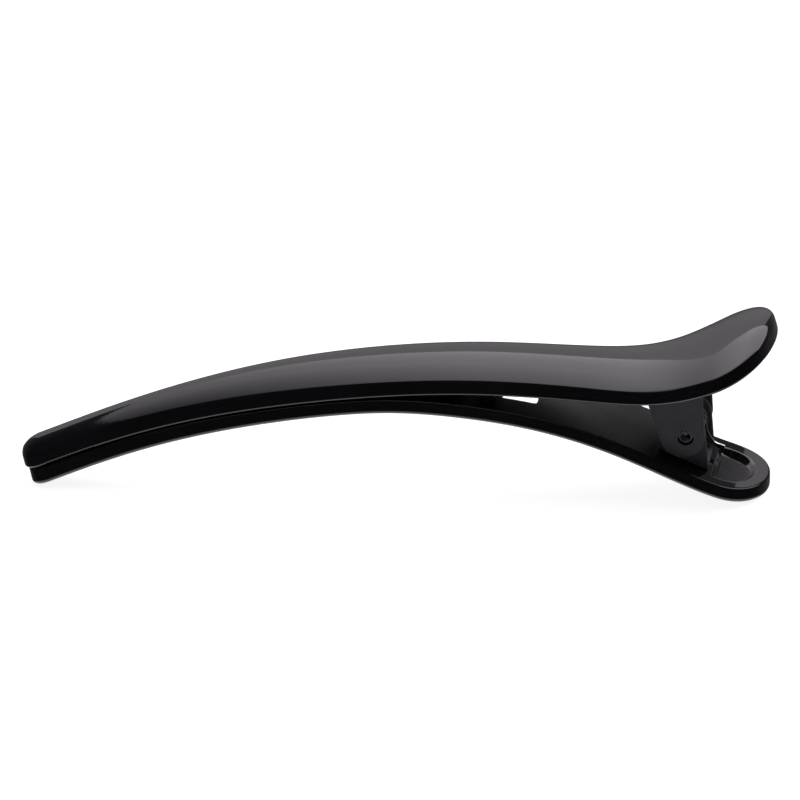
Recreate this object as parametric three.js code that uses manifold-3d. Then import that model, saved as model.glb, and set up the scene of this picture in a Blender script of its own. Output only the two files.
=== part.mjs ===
// Sectioning clip: two long moulded arms that close on each other like a beak. Each arm carries a
// stamped steel hinge bracket, the brackets turn on one pin, and a torsion spring round the pin
// keeps the jaws shut. Units are millimetres. While the pieces are made, x runs from the jaw tips
// (negative) through the pin (x = 0) to the thumb tabs, z is height above the table and y is across.

import * as THREE from "three";
import { mergeVertices } from "three/addons/utils/BufferGeometryUtils.js";
import Module from "manifold-3d";

const wasm = await Module();
wasm.setup();

// ---- Driving dimensions: the arms ----

const JAW_REACH = 97.5; // pin to upper jaw tip
const TAB_REACH = 14; // pin to the end of the upper thumb tab
const LEVER_REACH = 11.4; // pin to the end of the lower thumb lever
const JAW_OVERHANG = 0.5; // the upper jaw tip stands this far beyond the lower one
const JAW_TIP_Z = 2.3; // upper arm's lip at the jaw tip
const CREST_Z = 17.65; // upper arm's lip at the top of the arch
const TAB_RISE = 7; // tab end above the crest
const LEVER_TIP_Z = 2.1; // lower arm's top face at the lever's end
const PARTING = 52; // the arms touch along the jaws up to here, and part from here to the pin
const JAW_GAP = 0.3; // between the closed jaws

const JAW_TIP_HALF = 3; // half-widths
const MID_JAW_HALF = 5.2;
const WAIST_HALF = 6.6;
const TAB_HALF = 10;
const LEVER_HALF = 6.6;
const TAB_END_RADIUS = 7.5; // lengths of the arms' round ends
const LEVER_END_RADIUS = 7;
const ARM_STEP_IN = 0.15; // the lower arm is this much narrower on each side than the upper

const SIDE_LEAN = 0.4; // 0 for upright sides, 1 for sides square to the arm's line
const LIP_HEIGHT = 2.1; // the upright side of the upper arm
const CROWN = 2.55; // how far its back is crowned above the sides
const TIP_CROWN = 1.5;
const LIP_WALL = 1.5;
const ROOF_WALL = 1.5;
const LIP_ROUND = 0.45;
const LOWER_TIP_THICK = 2.7;
const LOWER_THICK = 2.4;
const LOWER_ROUND = 0.7;

// ---- Driving dimensions: grip ribs, window and thumb rest ----

const RIB_PITCH = 5.9;
const LOWER_RIB_THICK = 2.2;
const LOWER_RIB_HEIGHT = 1.2;
const UPPER_RIB_THICK = 1.1;
const RIB_CLEARANCE = 0.4;
const RIB_SINK = 0.2; // how far a rib's root runs into its arm
const WINDOW_FRONT = 27; // window in the lower arm, from the pin
const WINDOW_LENGTH = 5.2;
const WINDOW_HALF = 1.85;
const WINDOW_FLOOR = 1.2; // the arm's thickness round the window
const WELL_WALL = 1.8; // sides left beside the well under the window
const WELL_MARGIN = 1.2; // the well runs this far past the window's ends
const RIB_TO_WINDOW = 0.6;
const RIB_FIRST = WINDOW_FRONT + RIB_TO_WINDOW + LOWER_RIB_THICK / 2; // from the pin
const REST_RIM = 2.2; // rim round the sunk thumb rest
const REST_DEPTH = 0.9;
const REST_SETBACK = 0.9; // behind the brackets' back edges

// ---- Driving dimensions: hinge ----

const PIN_ABOVE_LOWER = 4.7; // pin axis above the lower arm's top face
const PIN_RADIUS = 1;
const PIN_TIGHT = 0.05; // clearance in the lower bracket, where the pin is held
const PIN_LOOSE = 0.18; // clearance in the upper bracket, which turns
const PIN_RECESS = 0.3; // the pin's ends lie below the upper bracket's faces
const SHEET = 0.8;
const EAR_RADIUS = 3.25;
const EAR_FORWARD = 0.5; // the ear's round end sits this far in front of the pin
const EAR_BACK_LEAN = 0.35; // the upper ear's back edge leans this far back at the arm
const UPPER_EAR_FRONT = 5.6; // front corner of the upper ear at the arm, from the pin
const LOWER_EAR_FRONT = 4.2;
const EAR_GAP = 0.3; // between the lower and upper ears
const SEAT_GAP = 0.12; // between the lower bracket and the arm it is staked to
const UPPER_PLATE_IN = 0.35; // the upper bracket's plate lies this far inside the lip
const PLATE_STEPS = 6;

const WIRE = 0.8;
const COIL_TURNS = 4;
const COIL_GAP = 0.15; // between turns
const COIL_TO_PIN = 0.45;
const COIL_TO_EAR = 0.5;
const LEG_GAP = 0.15; // between a spring foot and the plate it bears on
const FOOT_LENGTH = 2.4; // the spring's feet run this far back from the coil

const STAKE_RADIUS = 0.7;
const STAKE_HEAD = 1.1;
const STAKE_ROOT = 0.5;
const STAKE_HEAD_HEIGHT = 0.5;
const STAKE_CLEARANCE = 0.12;
const STAKE_TO_EAR = 0.2;
const UPPER_STAKE_X = -3.6;
const LOWER_STAKE_X = -2.7;

// ---- Lines of the arms, seen from the side and from above ----

// A smooth line (natural cubic spline) through [x, value] points.
function smoothLine(points) {
  const x = points.map((point) => point[0]);
  const value = points.map((point) => point[1]);
  const last = x.length - 1;
  const bend = new Array(x.length).fill(0);
  const pivot = new Array(x.length).fill(1);
  for (let i = 1; i < last; i++) {
    const before = x[i] - x[i - 1];
    const after = x[i + 1] - x[i];
    const turn = (value[i + 1] - value[i]) / after - (value[i] - value[i - 1]) / before;
    const carry = i > 1 ? before / pivot[i - 1] : 0;
    pivot[i] = 2 * (before + after) - carry * before;
    bend[i] = 6 * turn - carry * bend[i - 1];
  }
  for (let i = last - 1; i > 0; i--) {
    bend[i] = (bend[i] - (x[i + 1] - x[i]) * bend[i + 1]) / pivot[i];
  }
  bend[last] = 0;
  return (at) => {
    let i = 0;
    while (i < last - 1 && at > x[i + 1]) i++;
    const span = x[i + 1] - x[i];
    const a = (x[i + 1] - at) / span;
    const b = (at - x[i]) / span;
    const cubic = (a ** 3 - a) * bend[i] + (b ** 3 - b) * bend[i + 1];
    return a * value[i] + b * value[i + 1] + (cubic * span * span) / 6;
  };
}

function slopeOf(line, x) {
  const step = 0.01;
  return (line(x + step) - line(x - step)) / (2 * step);
}

// A point at a distance out from a side-view line. The arms' sides lean only part of the way from
// upright to square with the line, so their ends look cut almost upright.
function beside(line, x, out) {
  const slope = slopeOf(line, x);
  const lean = SIDE_LEAN * slope;
  const rise = out * (Math.hypot(1, slope) / (1 + lean * slope));
  return [x - rise * lean, line(x) + rise];
}

// Half-width factor of a round end: 1 at its start, small at the very end.
function roundEnd(distance, radius) {
  const left = Math.max(0, 1 - distance / radius);
  return Math.sqrt(1 - left ** 2.2);
}

const END_CUT = 0.04; // share of the end radius that the small flat at each end takes

const JAW_RISE = CREST_Z - JAW_TIP_Z;

// The upper arm's lip: an arch along the jaw, then the tab kicks up.
const lipLine = smoothLine([
  [-JAW_REACH, JAW_TIP_Z],
  [-0.86 * JAW_REACH, JAW_TIP_Z + 0.36 * JAW_RISE],
  [-0.655 * JAW_REACH, JAW_TIP_Z + 0.745 * JAW_RISE],
  [-0.45 * JAW_REACH, JAW_TIP_Z + 0.955 * JAW_RISE],
  [-0.29 * JAW_REACH, CREST_Z],
  [-0.145 * JAW_REACH, CREST_Z - 0.085 * TAB_RISE],
  [-0.05 * JAW_REACH, CREST_Z - 0.065 * TAB_RISE],
  [0, CREST_Z + 0.09 * TAB_RISE],
  [0.43 * TAB_REACH, CREST_Z + 0.44 * TAB_RISE],
  [TAB_REACH, CREST_Z + TAB_RISE],
]);

// The lower arm's top face: it follows the lip along the jaws, drops away from it between the
// parting and the pin, and runs on down to the lever.
const PIN_GROUND = 0.33 * CREST_Z;
const hingeSpace = lipLine(0) - PIN_GROUND - JAW_GAP;
const followLip = (x, drop) => [x, lipLine(x) - JAW_GAP - drop * hingeSpace];
const alongJaw = (share) => followLip(-PARTING - share * (JAW_REACH - PARTING), 0);
const lowerTopLine = smoothLine([
  alongJaw(1),
  alongJaw(0.8),
  alongJaw(0.6),
  alongJaw(0.4),
  alongJaw(0.2),
  alongJaw(0),
  followLip(-0.82 * PARTING, 0.022),
  followLip(-0.62 * PARTING, 0.113),
  followLip(-0.39 * PARTING, 0.26),
  followLip(-0.16 * PARTING, 0.562),
  [0, PIN_GROUND],
  [0.5 * LEVER_REACH, LEVER_TIP_Z + 0.075 * CREST_Z],
  [LEVER_REACH, LEVER_TIP_Z],
]);

const upperHalf = smoothLine([
  [-JAW_REACH, JAW_TIP_HALF],
  [-0.86 * JAW_REACH, JAW_TIP_HALF + 0.1],
  [-0.55 * JAW_REACH, MID_JAW_HALF],
  [-0.25 * JAW_REACH, 0.93 * WAIST_HALF],
  [-0.1 * JAW_REACH, 1.05 * WAIST_HALF],
  [0, WAIST_HALF + 0.6 * (TAB_HALF - WAIST_HALF)],
  [0.45 * TAB_REACH, TAB_HALF],
  [TAB_REACH, TAB_HALF],
]);

const lowerHalf = smoothLine([
  [-JAW_REACH, JAW_TIP_HALF - ARM_STEP_IN],
  [-0.86 * JAW_REACH, JAW_TIP_HALF + 0.1 - ARM_STEP_IN],
  [-0.55 * JAW_REACH, MID_JAW_HALF - ARM_STEP_IN],
  [-0.25 * JAW_REACH, 0.93 * WAIST_HALF - ARM_STEP_IN],
  [0, LEVER_HALF],
  [LEVER_REACH, LEVER_HALF],
]);

// Places along an arm: close together where its ends are round.
function stations(from, to, startRadius, endRadius, count) {
  const list = [];
  const roundSteps = 5;
  for (let i = 0; i < roundSteps; i++) {
    list.push(from + startRadius * (1 - Math.cos((Math.PI / 2) * (i / roundSteps))));
  }
  const body = to - endRadius - (from + startRadius);
  for (let i = 0; i <= count; i++) {
    list.push(from + startRadius + (body * i) / count);
  }
  for (let i = roundSteps - 1; i >= 0; i--) {
    list.push(to - endRadius * (1 - Math.cos((Math.PI / 2) * (i / roundSteps))));
  }
  return list;
}

// ---- Solids ----

// A box whose corners are moved to place(x, across from -1 to 1, up from 0 to 1).
function mouldedBox(xs, across, up, place) {
  const box = new THREE.BoxGeometry(1, 1, 1, xs.length - 1, across, up);
  const corners = box.attributes.position;
  for (let i = 0; i < corners.count; i++) {
    const x = xs[Math.round((corners.getX(i) + 0.5) * (xs.length - 1))];
    corners.setXYZ(i, ...place(x, 2 * corners.getY(i), corners.getZ(i) + 0.5));
  }
  return box;
}

function solid(geometry) {
  const bare = geometry.clone();
  bare.deleteAttribute("normal");
  bare.deleteAttribute("uv");
  const merged = mergeVertices(bare, 1e-4);
  return new wasm.Manifold(
    new wasm.Mesh({
      numProp: 3,
      vertProperties: new Float32Array(merged.attributes.position.array),
      triVerts: new Uint32Array(merged.index.array),
    }),
  );
}

function piece(name, shape, material) {
  const mesh = shape.getMesh();
  const geometry = new THREE.BufferGeometry();
  geometry.setAttribute("position", new THREE.BufferAttribute(mesh.vertProperties, 3));
  geometry.setIndex(new THREE.BufferAttribute(mesh.triVerts, 1));
  geometry.computeVertexNormals();
  const node = new THREE.Mesh(geometry, material);
  node.name = name;
  return node;
}

// A flat plate from a side-view outline, its faces at y and y + thickness.
function sidePlate(outline, y, thickness) {
  const plate = new THREE.ExtrudeGeometry(outline, {
    depth: thickness,
    bevelEnabled: false,
    curveSegments: 10,
  });
  plate.rotateX(Math.PI / 2);
  plate.translate(0, y + thickness, 0);
  return solid(plate);
}

function crossBar(x, z, radius, halfLength) {
  const bar = new THREE.CylinderGeometry(radius, radius, 2 * halfLength, 24);
  bar.translate(x, 0, z);
  return solid(bar);
}

// A strip that follows a side-view line between two distances out from it.
function strip(line, from, to, low, high, half, steps) {
  const xs = [];
  for (let i = 0; i <= steps; i++) {
    xs.push(from + ((to - from) * i) / steps);
  }
  return solid(
    mouldedBox(xs, 1, 1, (x, across, up) => {
      const [px, pz] = beside(line, x, low + (high - low) * up);
      return [px, across * half(x), pz];
    }),
  );
}

// ---- Upper arm ----

const upperStart = -JAW_REACH + END_CUT * JAW_TIP_HALF;
const upperEnd = TAB_REACH - END_CUT * TAB_END_RADIUS;

function upperWidth(x, inset) {
  const tip = roundEnd(x + JAW_REACH - inset, JAW_TIP_HALF);
  const tab = roundEnd(TAB_REACH - inset - x, TAB_END_RADIUS);
  return { half: (upperHalf(x) - inset) * tip * tab, ends: tip * tab };
}

function crown(x) {
  const fromTip = THREE.MathUtils.smoothstep(x + JAW_REACH, 0, 0.45 * JAW_REACH);
  return TIP_CROWN + (CROWN - TIP_CROWN) * fromTip;
}

function upperOuter() {
  const xs = stations(upperStart, upperEnd, JAW_TIP_HALF, TAB_END_RADIUS, 30);
  return solid(
    mouldedBox(xs, 6, 2, (x, across, up) => {
      const { half, ends } = upperWidth(x, 0);
      const back = LIP_HEIGHT + crown(x) * ends * (1 - across * across);
      const out = up === 0 ? 0 : up === 1 ? back : LIP_ROUND;
      const y = up === 0 ? across * (half - LIP_ROUND * ends) : across * half;
      const [px, pz] = beside(lipLine, x, out);
      return [px, y, pz];
    }),
  );
}

function upperHollow() {
  const from = upperStart + LIP_WALL;
  const to = upperEnd - LIP_WALL;
  const xs = stations(from, to, JAW_TIP_HALF - LIP_WALL, TAB_END_RADIUS - LIP_WALL, 26);
  return solid(
    mouldedBox(xs, 4, 1, (x, across, up) => {
      const { half, ends } = upperWidth(x, LIP_WALL);
      const y = across * half;
      const back = LIP_HEIGHT + crown(x) * ends * (1 - (y / upperHalf(x)) ** 2);
      const [px, pz] = beside(lipLine, x, up === 0 ? -1 : back - ROOF_WALL);
      return [px, y, pz];
    }),
  );
}

const hollowHalf = (x) => upperWidth(x, LIP_WALL).half;

function upperRibs() {
  const ribs = [];
  const half = (x) => hollowHalf(x) + RIB_SINK;
  const spacing = RIB_PITCH / 2;
  for (let x = RIB_FIRST + spacing; x < JAW_REACH - 2 * JAW_TIP_HALF; x += RIB_PITCH) {
    const back = -x - UPPER_RIB_THICK / 2;
    const roof = LIP_HEIGHT + 0.5 * crown(back) - ROOF_WALL + RIB_SINK;
    ribs.push(strip(lipLine, back, back + UPPER_RIB_THICK, RIB_CLEARANCE, roof, half, 1));
  }
  return ribs;
}

// ---- Lower arm ----

const lowerTip = -JAW_REACH + JAW_OVERHANG;
const lowerStart = lowerTip + END_CUT * JAW_TIP_HALF;
const lowerEnd = LEVER_REACH - END_CUT * LEVER_END_RADIUS;

function lowerWidth(x, inset) {
  const tip = roundEnd(x - lowerTip - inset, JAW_TIP_HALF);
  const lever = roundEnd(LEVER_REACH - inset - x, LEVER_END_RADIUS);
  return { half: (lowerHalf(x) - inset) * tip * lever, ends: tip * lever };
}

function lowerThick(x) {
  const toTip = THREE.MathUtils.smoothstep(-x, 0.55 * JAW_REACH, JAW_REACH);
  return LOWER_THICK + (LOWER_TIP_THICK - LOWER_THICK) * toTip;
}

// The underside is flat where it would dip below the table, so the clip stands on two small feet.
function lowerBody() {
  const xs = stations(lowerStart, lowerEnd, JAW_TIP_HALF, LEVER_END_RADIUS, 32);
  return solid(
    mouldedBox(xs, 2, 2, (x, across, up) => {
      const { half, ends } = lowerWidth(x, 0);
      const out = up === 1 ? 0 : up === 0 ? -lowerThick(x) : LOWER_ROUND - lowerThick(x);
      const y = up === 0 ? across * (half - LOWER_ROUND * ends) : across * half;
      const [px, pz] = beside(lowerTopLine, x, out);
      return [px, y, Math.max(pz, 0)];
    }),
  );
}

function lowerRibs() {
  const ribs = [];
  const half = (x) => hollowHalf(x) - RIB_CLEARANCE;
  for (let x = RIB_FIRST; x < JAW_REACH - 2 * JAW_TIP_HALF; x += RIB_PITCH) {
    const back = -x - LOWER_RIB_THICK / 2;
    const front = back + LOWER_RIB_THICK;
    ribs.push(strip(lowerTopLine, back, front, -RIB_SINK, LOWER_RIB_HEIGHT, half, 1));
  }
  return ribs;
}

function lowerWindow() {
  const from = -WINDOW_FRONT;
  const half = () => WINDOW_HALF;
  return strip(lowerTopLine, from, from + WINDOW_LENGTH, -LOWER_THICK - 1, 1, half, 2);
}

// The well under the window, where the arm is thinner.
function windowWell() {
  const from = -WINDOW_FRONT - WELL_MARGIN;
  const to = -WINDOW_FRONT + WINDOW_LENGTH + WELL_MARGIN;
  const half = (x) => lowerHalf(x) - WELL_WALL;
  return strip(lowerTopLine, from, to, -LOWER_THICK - 1, -WINDOW_FLOOR, half, 3);
}

function thumbRest() {
  const from = EAR_BACK + REST_SETBACK;
  const to = lowerEnd - REST_RIM;
  const half = (x) => lowerWidth(x, REST_RIM).half;
  const xs = [from, from + 1];
  const round = to - from - 1;
  for (let i = 1; i <= 7; i++) {
    xs.push(from + 1 + round * Math.sin((Math.PI / 2) * (i / 7)));
  }
  return solid(
    mouldedBox(xs, 1, 1, (x, across, up) => {
      const [px, pz] = beside(lowerTopLine, x, up === 0 ? -REST_DEPTH : 1);
      return [px, across * half(x), pz];
    }),
  );
}

// ---- Hinge ----

const PIN_Z = lowerTopLine(0) + PIN_ABOVE_LOWER;
const COIL_PITCH = WIRE + COIL_GAP;
const COIL_RADIUS = PIN_RADIUS + COIL_TO_PIN + WIRE / 2; // to the wire's centre
const COIL_HALF = (COIL_TURNS * COIL_PITCH + WIRE) / 2;
const LOWER_EARS_HALF = COIL_HALF + COIL_TO_EAR + SHEET; // to the ears' outer faces
const UPPER_EARS_HALF = LOWER_EARS_HALF + EAR_GAP + SHEET;
const STAKE_APART = LOWER_EARS_HALF - SHEET - STAKE_TO_EAR - STAKE_HEAD; // from the middle
const EAR_BACK = EAR_RADIUS - EAR_FORWARD;

// An ear from the plate that follows an arm's line to its round end at the pin. The upper ear
// (side 1) hangs from its plate and the lower ear (side -1) stands on its plate.
function earOutline(line, out, frontX, backX, side) {
  const outline = new THREE.Shape();
  const centre = new THREE.Vector2(-EAR_FORWARD, PIN_Z);
  const corner = new THREE.Vector2(...beside(line, -frontX, out));
  const reach = corner.clone().sub(centre);
  const frontAngle = reach.angle() + side * Math.acos(EAR_RADIUS / reach.length());
  const backAngle = side > 0 ? 2 * Math.PI : 0;
  outline.moveTo(corner.x, corner.y);
  outline.absarc(centre.x, centre.y, EAR_RADIUS, frontAngle, backAngle, side < 0);
  for (let i = 0; i < PLATE_STEPS; i++) {
    const x = backX - ((frontX + backX) * i) / PLATE_STEPS;
    outline.lineTo(...beside(line, x, out));
  }
  return outline;
}

function bracket(line, low, frontX, backX, side, earsHalf, holeRadius) {
  const out = side > 0 ? low + SHEET : low;
  const outline = earOutline(line, out, frontX, backX, side);
  return strip(line, -frontX, backX, low, low + SHEET, () => earsHalf, PLATE_STEPS)
    .add(sidePlate(outline, earsHalf - SHEET, SHEET))
    .add(sidePlate(outline, -earsHalf, SHEET))
    .subtract(crossBar(0, PIN_Z, holeRadius, earsHalf + 1));
}

// Round bars square to an arm's line, one on each side of the middle. The profile is [radius,
// distance] points from the axis to the axis, counted from `from` out of the line, along `side`.
function pairOfPosts(line, x, from, side, profile) {
  const slope = slopeOf(line, x);
  const length = Math.hypot(1, slope);
  return [-STAKE_APART, STAKE_APART].map((y) => {
    const post = new THREE.LatheGeometry(profile.map((p) => new THREE.Vector2(...p)), 16);
    post.rotateX((side * Math.PI) / 2);
    post.rotateY(-Math.atan(slope));
    post.translate(x - (from * slope) / length, y, line(x) + from / length);
    return solid(post);
  });
}

// Moulded stakes that rise `rise` from an arm's face and are flattened over the bracket.
function stakes(line, x, from, side, rise) {
  return pairOfPosts(line, x, from, side, [
    [0, -STAKE_ROOT],
    [STAKE_RADIUS, -STAKE_ROOT],
    [STAKE_RADIUS, rise],
    [STAKE_HEAD, rise],
    [0.8 * STAKE_HEAD, rise + STAKE_HEAD_HEIGHT],
    [0, rise + STAKE_HEAD_HEIGHT],
  ]);
}

function stakeHoles(line, x) {
  const radius = STAKE_RADIUS + STAKE_CLEARANCE;
  return pairOfPosts(line, x, 0, 1, [
    [0, -2],
    [radius, -2],
    [radius, 3],
    [0, 3],
  ]);
}

// The spring's centreline: a foot on the lower plate, a leg up to the coil, the coil round the
// pin, and a leg up to a foot under the upper plate.
function springPath() {
  const half = (COIL_TURNS * COIL_PITCH) / 2;
  const points = [];
  const lowerFoot = SEAT_GAP + SHEET + LEG_GAP + WIRE / 2;
  const upperFoot = UPPER_PLATE_IN - LEG_GAP - WIRE / 2;
  const onLine = (line, x, out, y) => {
    const [px, pz] = beside(line, x, out);
    return new THREE.Vector3(px, y, pz);
  };
  points.push(onLine(lowerTopLine, COIL_RADIUS + FOOT_LENGTH, lowerFoot, half));
  points.push(onLine(lowerTopLine, COIL_RADIUS + 0.5 * FOOT_LENGTH, lowerFoot, half));
  points.push(onLine(lowerTopLine, COIL_RADIUS + 0.2 * FOOT_LENGTH, lowerFoot + 0.3 * WIRE, half));
  points.push(new THREE.Vector3(COIL_RADIUS, half, PIN_Z - 1.2 * COIL_RADIUS));
  const steps = 12 * COIL_TURNS;
  for (let i = 0; i <= steps; i++) {
    const angle = (2 * Math.PI * COIL_TURNS * i) / steps;
    const y = half - (2 * half * i) / steps;
    points.push(new THREE.Vector3(COIL_RADIUS * Math.cos(angle), y, PIN_Z + COIL_RADIUS * Math.sin(angle)));
  }
  points.push(new THREE.Vector3(COIL_RADIUS, -half, PIN_Z + 1.5 * COIL_RADIUS));
  points.push(onLine(lipLine, COIL_RADIUS + 0.1 * FOOT_LENGTH, upperFoot - 1.5 * WIRE, -half));
  points.push(onLine(lipLine, COIL_RADIUS + 0.4 * FOOT_LENGTH, upperFoot, -half));
  points.push(onLine(lipLine, COIL_RADIUS + FOOT_LENGTH, upperFoot, -half));
  return new THREE.CatmullRomCurve3(points, false, "centripetal");
}

function spring() {
  const section = new THREE.Shape();
  section.absarc(0, 0, WIRE / 2, 0, 2 * Math.PI, false);
  return solid(
    new THREE.ExtrudeGeometry(section, {
      steps: 90,
      curveSegments: 6,
      bevelEnabled: false,
      extrudePath: springPath(),
    }),
  );
}

// ---- Assembly ----

const glossBlack = new THREE.MeshStandardMaterial({ color: 0x0b0a0c, roughness: 0.12, metalness: 0 });
const satinSteel = new THREE.MeshStandardMaterial({ color: 0x2b2a2e, roughness: 0.45, metalness: 0.6 });
const pinSteel = new THREE.MeshStandardMaterial({ color: 0x4a484d, roughness: 0.35, metalness: 0.9 });
const springSteel = new THREE.MeshStandardMaterial({ color: 0xa9a8ad, roughness: 0.22, metalness: 1 });

const roofIn = (x, y) => LIP_HEIGHT + crown(x) * (1 - (y / upperHalf(x)) ** 2) - ROOF_WALL;
const upperStakeRoof = roofIn(UPPER_STAKE_X, STAKE_APART);
const upperStakeRise = upperStakeRoof - UPPER_PLATE_IN + STAKE_CLEARANCE;
const lowerStakeRise = SEAT_GAP + SHEET + STAKE_CLEARANCE;

let upperArm = upperOuter().subtract(upperHollow());
for (const rib of upperRibs()) upperArm = upperArm.add(rib);
for (const stake of stakes(lipLine, UPPER_STAKE_X, upperStakeRoof, -1, upperStakeRise)) {
  upperArm = upperArm.add(stake);
}

let lowerArm = lowerBody();
for (const rib of lowerRibs()) lowerArm = lowerArm.add(rib);
lowerArm = lowerArm.subtract(lowerWindow()).subtract(windowWell()).subtract(thumbRest());
for (const stake of stakes(lowerTopLine, LOWER_STAKE_X, 0, 1, lowerStakeRise)) {
  lowerArm = lowerArm.add(stake);
}

const upperBack = EAR_BACK + EAR_BACK_LEAN;
let upperBracket = bracket(lipLine, UPPER_PLATE_IN, UPPER_EAR_FRONT, upperBack, 1, UPPER_EARS_HALF,
  PIN_RADIUS + PIN_LOOSE);
for (const hole of stakeHoles(lipLine, UPPER_STAKE_X)) upperBracket = upperBracket.subtract(hole);

let lowerBracket = bracket(lowerTopLine, SEAT_GAP, LOWER_EAR_FRONT, EAR_BACK, -1, LOWER_EARS_HALF,
  PIN_RADIUS + PIN_TIGHT);
for (const hole of stakeHoles(lowerTopLine, LOWER_STAKE_X)) lowerBracket = lowerBracket.subtract(hole);

const group = new THREE.Group();
group.add(piece("upper_arm", upperArm, glossBlack));
group.add(piece("lower_arm", lowerArm, glossBlack));
group.add(piece("upper_hinge_bracket", upperBracket, satinSteel));
group.add(piece("lower_hinge_bracket", lowerBracket, satinSteel));
group.add(piece("hinge_pin", crossBar(0, PIN_Z, PIN_RADIUS, UPPER_EARS_HALF - PIN_RECESS), pinSteel));
group.add(piece("torsion_spring", spring(), springSteel));

// The finished clip's origin is on the table, under the middle of its bounding box.
const box = new THREE.Box3().setFromObject(group);
group.position.set(-(box.min.x + box.max.x) / 2, 0, -box.min.z);

export default group;
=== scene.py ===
# Sectioning clip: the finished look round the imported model. Lengths are given in millimetres in the
# arms' own frame (x = 0 at the hinge pin, jaws towards -x) and turned into metres in the row frame.
import math

import bmesh
import bpy
import numpy as np
from mathutils import Matrix, Vector


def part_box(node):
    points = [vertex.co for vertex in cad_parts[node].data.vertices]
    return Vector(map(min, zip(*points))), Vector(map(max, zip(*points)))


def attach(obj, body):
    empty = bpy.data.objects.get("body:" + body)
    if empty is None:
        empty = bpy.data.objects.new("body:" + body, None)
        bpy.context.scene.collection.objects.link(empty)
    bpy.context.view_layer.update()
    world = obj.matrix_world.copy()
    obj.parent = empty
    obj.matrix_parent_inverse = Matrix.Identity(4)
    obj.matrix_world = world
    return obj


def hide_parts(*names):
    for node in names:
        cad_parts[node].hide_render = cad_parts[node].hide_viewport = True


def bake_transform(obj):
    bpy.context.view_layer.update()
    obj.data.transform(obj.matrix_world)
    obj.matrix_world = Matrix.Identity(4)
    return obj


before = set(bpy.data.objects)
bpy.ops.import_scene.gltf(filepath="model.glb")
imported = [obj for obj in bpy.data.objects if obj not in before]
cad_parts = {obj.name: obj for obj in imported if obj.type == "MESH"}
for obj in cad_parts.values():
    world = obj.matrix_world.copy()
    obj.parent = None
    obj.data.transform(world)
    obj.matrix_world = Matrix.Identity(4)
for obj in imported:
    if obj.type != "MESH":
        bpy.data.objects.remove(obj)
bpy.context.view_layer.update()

MM = 0.001
LOWER, UPPER = "lower_half", "upper_half"

pin_low, pin_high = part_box("hinge_pin")
PIN_X = (pin_low.x + pin_high.x) / 2 / MM
PIN_END = pin_high.y / MM

# ---- sizes that the model's pieces share, in mm ----
JAW_REACH, TAB_REACH, LEVER_REACH, JAW_OVERHANG = 97.5, 14.0, 11.4, 0.5
JAW_TIP_Z, CREST_Z, TAB_RISE, LEVER_TIP_Z = 2.3, 17.65, 7.0, 2.1
PARTING, JAW_GAP = 52.0, 0.3
JAW_TIP_HALF, MID_JAW_HALF, WAIST_HALF, TAB_HALF, LEVER_HALF = 3.0, 5.2, 6.6, 10.0, 6.6
TAB_END_RADIUS, LEVER_END_RADIUS, ARM_STEP_IN = 7.5, 7.0, 0.15
SIDE_LEAN, LIP_HEIGHT, CROWN, TIP_CROWN = 0.4, 2.1, 2.55, 1.5
LIP_WALL, ROOF_WALL, LIP_ROUND = 1.5, 1.5, 0.45
LOWER_TIP_THICK, LOWER_THICK, LOWER_ROUND = 2.7, 2.4, 0.8
RIB_PITCH, LOWER_RIB_THICK, LOWER_RIB_HEIGHT = 5.9, 2.2, 1.2
UPPER_RIB_THICK, RIB_CLEARANCE, RIB_SINK, RIB_FIRST = 1.1, 0.4, 0.2, 28.7
WINDOW_FRONT, WINDOW_LENGTH, WINDOW_HALF = 27.0, 5.2, 1.85
WINDOW_FLOOR, WELL_WALL, WELL_MARGIN = 1.2, 1.8, 1.2
REST_RIM, REST_DEPTH, REST_SETBACK = 2.2, 0.9, 0.9
PIN_ABOVE_LOWER, PIN_RADIUS, PIN_TIGHT, PIN_LOOSE = 4.7, 1.0, 0.05, 0.18
SHEET, EAR_RADIUS, EAR_FORWARD, EAR_BACK_LEAN = 0.8, 3.25, 0.5, 0.35
UPPER_EAR_FRONT, LOWER_EAR_FRONT, EAR_GAP = 5.6, 4.2, 0.3
SEAT_GAP, UPPER_PLATE_IN = 0.12, 0.35
WIRE, COIL_TURNS, COIL_GAP, COIL_TO_PIN, COIL_TO_EAR = 0.8, 4, 0.15, 0.45, 0.5
LEG_GAP, FOOT_LENGTH = 0.15, 2.4
STAKE_HEAD, STAKE_HEAD_HEIGHT, STAKE_CLEARANCE, STAKE_TO_EAR = 1.1, 0.5, 0.12, 0.2
UPPER_STAKE_X, LOWER_STAKE_X, END_CUT = -3.6, -2.7, 0.04
COIL_PITCH = WIRE + COIL_GAP
COIL_RADIUS = PIN_RADIUS + COIL_TO_PIN + WIRE / 2
LOWER_EARS_HALF = (COIL_TURNS * COIL_PITCH + WIRE) / 2 + COIL_TO_EAR + SHEET
UPPER_EARS_HALF = LOWER_EARS_HALF + EAR_GAP + SHEET
STAKE_APART = LOWER_EARS_HALF - SHEET - STAKE_TO_EAR - STAKE_HEAD
EAR_BACK = EAR_RADIUS - EAR_FORWARD
JAW_RISE = CREST_Z - JAW_TIP_Z


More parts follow.
